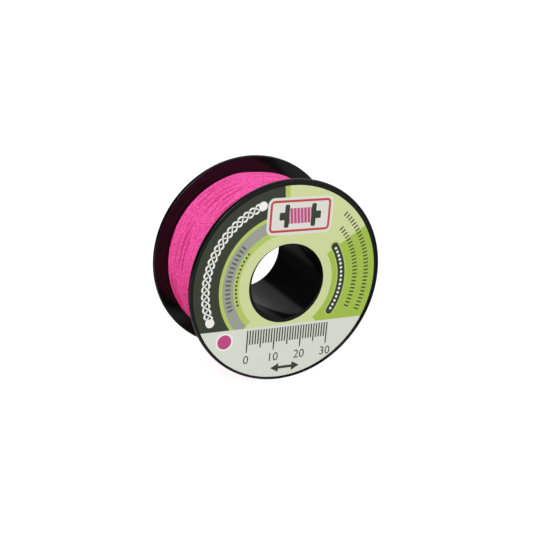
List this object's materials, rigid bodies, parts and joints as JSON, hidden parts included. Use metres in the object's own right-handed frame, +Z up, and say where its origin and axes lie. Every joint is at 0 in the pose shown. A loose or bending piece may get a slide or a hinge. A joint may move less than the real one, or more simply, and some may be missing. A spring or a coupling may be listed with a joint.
{
  "type": "line spool",
  "caption": "Round black spool with two thin flanges and a wide through bore, wound with bright pink braided line and labelled on one face.",
  "frame": {"origin": "the middle of the bore, half way between the two rims' faces", "axes": "+Y along the spool's axis, from the labelled front face to the rear; +Z up as it stands on its rims; +X to the right seen from the front"},
  "size_m": [0.07, 0.033, 0.07],
  "materials": {
    "spool_plastic": "gloss",
    "label_paper": "satin",
    "pink_line": "matte"
  },
  "bodies": {
    "root": {"hub_tube": "spool_plastic", "front_flange": "spool_plastic", "rear_flange": "spool_plastic", "front_label": "label_paper", "line_winding": "pink_line"}
  },
  "joints": []
}
